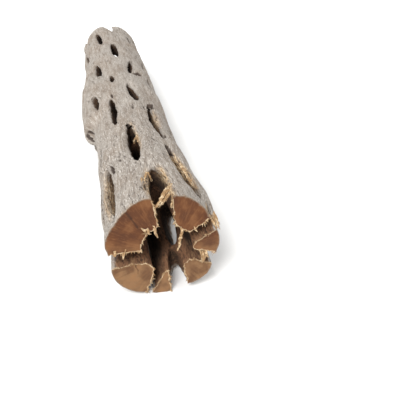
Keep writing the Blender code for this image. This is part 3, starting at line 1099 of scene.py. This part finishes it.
def paint_weathered():
    web = Finish(weathered)
    grain = web.stored("grain", "Vector")
    depth = web.stored("depth")
    from_cut = web.add("ShaderNodeSeparateXYZ", {"Vector": grain}).outputs["Y"]

    def fibres(wide, long, seed, **how):
        """A noise whose blobs are this wide and this long, in mm."""
        shares = (1 / (wide * MM), 1 / (long * MM), 1 / (wide * MM))
        return web.noise(web.vector("MULTIPLY", grain, shares), seed=seed, **how)

    broad = fibres(14, 22, 1.0)
    streak = fibres(1.3, 9, 2.0, detail=3.0)
    fibre = fibres(0.36, 4.2, 3.0, detail=3.0, roughness=0.6, distortion=0.3)
    fleck = fibres(0.45, 1.6, 4.0, roughness=0.6, distortion=0.5)
    pit = fibres(0.5, 1.8, 5.0, distortion=0.8)

    # The outside, calmer in the far half.
    calm = web.rise(from_cut, 40 * MM, 110 * MM, 1, 0.65)
    outside = web.layered(
        GREY,
        (broad, 0.38, 0.62, 1, WARM_GREY),
        (streak, 0.40, 0.66, 0.6, PALE_GREY),
        (fibre, 0.49, 0.32, web.times(calm, 0.62), DARK_FLECK),
        (fleck, 0.54, 0.66, web.times(calm, 0.70), LIGHT_FLECK),
        (pit, 0.60, 0.68, web.times(calm, 0.85), DARK_FLECK),
    )

    # The walls of the windows and the hollow: painted light near the saw cut, and painted shade on the deep
    # walls further from it.
    hollow = web.layered(HOLLOW_BROWN, (streak, 0.35, 0.65, 0.6, INNER_BROWN))
    # Painted light: the walls near the saw cut are lighter and streaked with tan.
    daylit = web.layered(HOLLOW_BROWN, (fibre, 0.48, 0.62, 0.55, TAN))
    # Painted shade: how strongly the walls deep between the outside and the hollow are darkened.
    painted_deep_shade = web.times(web.rise(depth, 0.80, 0.40), web.rise(depth, 0.02, 0.20, 0.3, 1.0), 0.65)
    inside = web.layered(
        INNER_BROWN,
        (streak, 0.30, 0.70, 1, DEEP_BROWN),
        (fibre, 0.5, 0.68, 0.5, TAN),
        (depth, 0.25, 0.02, 1, hollow),
        (from_cut, 14 * MM, 3 * MM, 0.65, daylit),
        # Painted shade on the deep walls, from about 18 mm past the cut on.
        (from_cut, 6 * MM, 18 * MM, painted_deep_shade, SHADE_BROWN),
        (pit, 0.53, 0.60, 0.7, DEEP_BROWN),
    )

    # Both, with a ragged border, and then torn lips, sawn edges, cracks painted dark as their shade, and
    # painted shade at the places listed above.
    ragged = web.math("MULTIPLY_ADD", web.math("SUBTRACT", streak, 0.5), 0.5, depth)
    near_lip = web.rise(web.stored("lip"), 0.05, 0.5)
    torn = web.times(web.stored("torn"), near_lip, web.rise(depth, 0.40, 0.80))
    torn_paint = web.layered(TAN, (fleck, 0.42, 0.62, 1, LIGHT_TAN), (pit, 0.50, 0.60, 0.85, DEEP_BROWN))
    paint = web.layered(
        outside,
        (ragged, 0.93, 0.74, 1, inside),
        (fibre, 0.30, 0.52, torn, torn_paint),
        (fibre, 0.35, 0.6, web.times(web.rise(web.stored("saw"), 0.35, 0.9), 0.6), TAN),
        # Painted shade: the cracks are painted dark brown.
        (web.stored("crack"), 0.15 * MM, 0.7 * MM, 0.85, DEEP_BROWN),
        # Painted shade on the walls at the places listed above.
        (depth, 1.0, 0.9, web.times(web.stored("painted_shade"), 0.85), SHADE_BROWN),
    )

    height = web.math("ADD", web.times(fibre, 0.6), web.times(fleck, 0.4))
    height = web.math("SUBTRACT", height, web.rise(pit, 0.60, 0.74))
    web.finish(paint, height, 0.75, 0.35 * MM)


# Dark lines on the near sawn end, where two strands grew together: start and end (across, up) and width,
# in mm.
FUSED_LINES = (
    ((-11.1, 32.7), (-8.3, 28.7), 0.7),
    ((-8.3, 28.7), (-6.4, 25.3), 0.5),
    ((-7.4, 12.6), (-7.6, 11.0), 0.4),
    ((-7.6, 11.0), (-6.9, 9.6), 0.3),
    ((-6.9, 9.6), (-7.0, 8.2), 0.25),
)
PITH_NEAR = (3.3 * MM, 0, 15.1 * MM, 1)
PITH_FAR = (2.2 * MM, 0, 17.2 * MM, 1)


def off_line(web, place, start, end):
    """How far each point lies from the line between these two, which are given in mm."""
    a = Vector((start[0] * MM, solid_low.y, start[1] * MM))
    run = Vector((end[0] * MM, solid_low.y, end[1] * MM)) - a
    away = web.vector("SUBTRACT", place, a)
    dot = web.add("ShaderNodeVectorMath", {0: away, 1: run / run.length_squared}, operation="DOT_PRODUCT")
    share = web.add("ShaderNodeClamp", {"Value": dot.outputs["Value"]}).outputs[0]
    off = web.vector("SUBTRACT", away, web.scaled(tuple(run), share))
    return web.add("ShaderNodeVectorMath", {0: off}, operation="LENGTH").outputs["Value"]


def paint_sawn():
    web = Finish(sawn)
    place = web.place()
    apart = web.add("ShaderNodeSeparateXYZ", {"Vector": place}).outputs
    near = web.rise(apart["Y"], 1 * MM, -1 * MM)
    pith = web.mix(near, PITH_FAR, PITH_NEAR)
    spoke = web.add("ShaderNodeSeparateXYZ", {"Vector": web.vector("SUBTRACT", place, pith)}).outputs
    reach = web.math("SQRT", web.math("ADD", *(web.math("POWER", spoke[axis], 2.0) for axis in "XZ")))
    angle = web.math("ARCTAN2", spoke["X"], spoke["Z"])
    millimetres = web.times(reach, 1 / MM)

    def rays(wide, long, seed, **how):
        """A noise whose blobs lie along the rays from the pith, this wide and this long in mm."""
        across = web.times(angle, 13.0 / wide)
        return web.noise(web.joined(across, web.math("DIVIDE", millimetres, long), 0), seed=seed, **how)

    broad = web.blobs(place, 4.5 * MM, seed=1.0)
    ray = rays(0.8, 9.0, 2.0, detail=3.0)
    fine = rays(0.3, 1.6, 3.0)
    speck = web.blobs(place, 0.4 * MM, seed=4.0)
    rough = web.times(web.math("SUBTRACT", speck, 0.5), 0.6)
    faint = web.times(near, 0.6)
    lines = [
        (off_line(web, place, start, end), width * MM, 0.2 * width * MM, faint, LINE_BROWN)
        for start, end, width in FUSED_LINES
    ]
    paint = web.layered(
        SAWN_UPPER,
        (apart["Z"], 23 * MM, 8 * MM, 1, SAWN_LOWER),
        (broad, 0.42, 0.64, 0.6, SAWN_DARK),
        (broad, 0.50, 0.32, 0.3, SAWN_LIGHT),
        (ray, 0.50, 0.75, 0.3, SAWN_LIGHT),
        (ray, 0.46, 0.28, 0.3, SAWN_DARK),
        (fine, 0.52, 0.70, 0.22, SAWN_LIGHT),
        (speck, 0.62, 0.74, 0.3, SAWN_DARK),
        *lines,
        (web.math("ADD", web.stored("outer"), rough), 0.1, 0.8, 0.75, RIM_GREY),
        (web.math("ADD", web.stored("edge"), rough), 0.50, 0.90, 0.75, LIGHT_TAN),
    )
    web.finish(paint, web.math("ADD", ray, fine), 0.3, 0.2 * MM)


def paint_torn():
    web = Finish(torn_wood)
    place = web.place()
    broad = web.blobs(place, 1.6 * MM, seed=1.0)
    fine = web.blobs(place, 0.35 * MM, seed=2.0)
    paint = web.layered(TAN, (broad, 0.45, 0.70, 1, LIGHT_TAN), (fine, 0.50, 0.68, 0.6, INNER_BROWN))
    web.finish(paint, fine, 0.5, 0.15 * MM)


paint_weathered()
paint_sawn()
paint_torn()
print("painted", ", ".join(m.name for m in (weathered, sawn, torn_wood)))

# %% [markdown]
# ## Put the pieces together
#
# The points on the outlines of the sawn faces get a value of one, in one attribute along the round outside
# and in another along the gaps. The material turns the first into a worn grey rim, and the second into the
# thin pale one that a saw raises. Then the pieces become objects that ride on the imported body, and the
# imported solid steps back.

# %% Make the objects
edge_layer = body.verts.layers.float.new("edge")
outer_layer = body.verts.layers.float.new("outer")
depth_layer = body.verts.layers.float["depth"]
for rim in rims.values():
    for edge in rim:
        for v in edge.verts:
            v[outer_layer if v[depth_layer] > OUTER_DEPTH else edge_layer] = 1.0
wood_mesh = as_mesh("cholla_wood", body)
for material in (weathered, sawn):
    wood_mesh.materials.append(material)
wood = in_scene("cholla_wood", wood_mesh)
pieces = [wood]
for name, mesh in (("sawn_splinters", fringe), ("torn_straps", straps)):
    for face in mesh.polygons:
        face.use_smooth = True
    pieces.append(in_scene(name, mesh))
for piece in pieces:
    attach(piece, "root")
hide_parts("cholla_skeleton")
faces = {piece.name: sum(len(p.vertices) - 2 for p in piece.data.polygons) for piece in pieces}
print("triangles:", faces)

# %% [markdown]
# ## Floor, light and camera
#
# The photograph has a plain white ground and soft light from the upper left. A pale floor, a white sky
# and one large lamp give that. The camera stands where the photograph's did: in front of the sawn end,
# a hand's width above it, and turned a little to the right.

# %% Floor, light and camera
FLOOR_SIZE = 6.0
CAMERA_PLACE = Vector((-19.423, -281.146, 118.491)) * MM
CAMERA_DOWN = math.radians(28.201)
CAMERA_RIGHT = math.radians(11.71)
CAMERA_ROLL = math.radians(0.494)
CAMERA_LENS = 53.466
CAMERA_SENSOR = 36.0
NEAR_CLIP = 10 * MM
SKY_STRENGTH = 0.85
KEY_STRENGTH = 3.0
KEY_SPREAD = math.radians(25)
KEY_TURN = (math.radians(38), math.radians(-28), 0)


def floor_piece():
    half = FLOOR_SIZE / 2
    corners = [(-half, -half, 0), (half, -half, 0), (half, half, 0), (-half, half, 0)]
    mesh = bpy.data.meshes.new("floor")
    mesh.from_pydata(corners, [], [(0, 1, 2, 3)])
    material = bpy.data.materials.new("pale_floor")
    web = Finish(material)
    grain = web.blobs(web.place(), 40 * MM, seed=1.0, detail=4.0)
    paint = web.layered(colour(245, 245, 244), (grain, 0.3, 0.7, 1, colour(249, 249, 248)))
    web.finish(paint, grain, 0.05, 0.1 * MM)
    mesh.materials.append(material)
    return in_scene("floor", mesh)


floor_piece()

world = bpy.data.worlds.new("sky")
world.use_nodes = True
background = world.node_tree.nodes["Background"].inputs
background["Color"].default_value = (1, 1, 1, 1)
background["Strength"].default_value = SKY_STRENGTH
bpy.context.scene.world = world

key = bpy.data.lights.new("key", "SUN")
key.energy = KEY_STRENGTH
key.angle = KEY_SPREAD
key_lamp = in_scene("key", key)
key_lamp.rotation_euler = KEY_TURN

camera_data = bpy.data.cameras.new("camera")
camera_data.lens = CAMERA_LENS
camera_data.sensor_width = CAMERA_SENSOR
camera_data.clip_start = NEAR_CLIP
camera = in_scene("camera", camera_data)
facing = Matrix.Rotation(-CAMERA_RIGHT, 4, "Z") @ Matrix.Rotation(math.pi / 2 - CAMERA_DOWN, 4, "X")
camera.matrix_world = Matrix.Translation(CAMERA_PLACE) @ facing @ Matrix.Rotation(CAMERA_ROLL, 4, "Z")
bpy.context.scene.camera = camera
bpy.context.scene.view_settings.view_transform = "Standard"
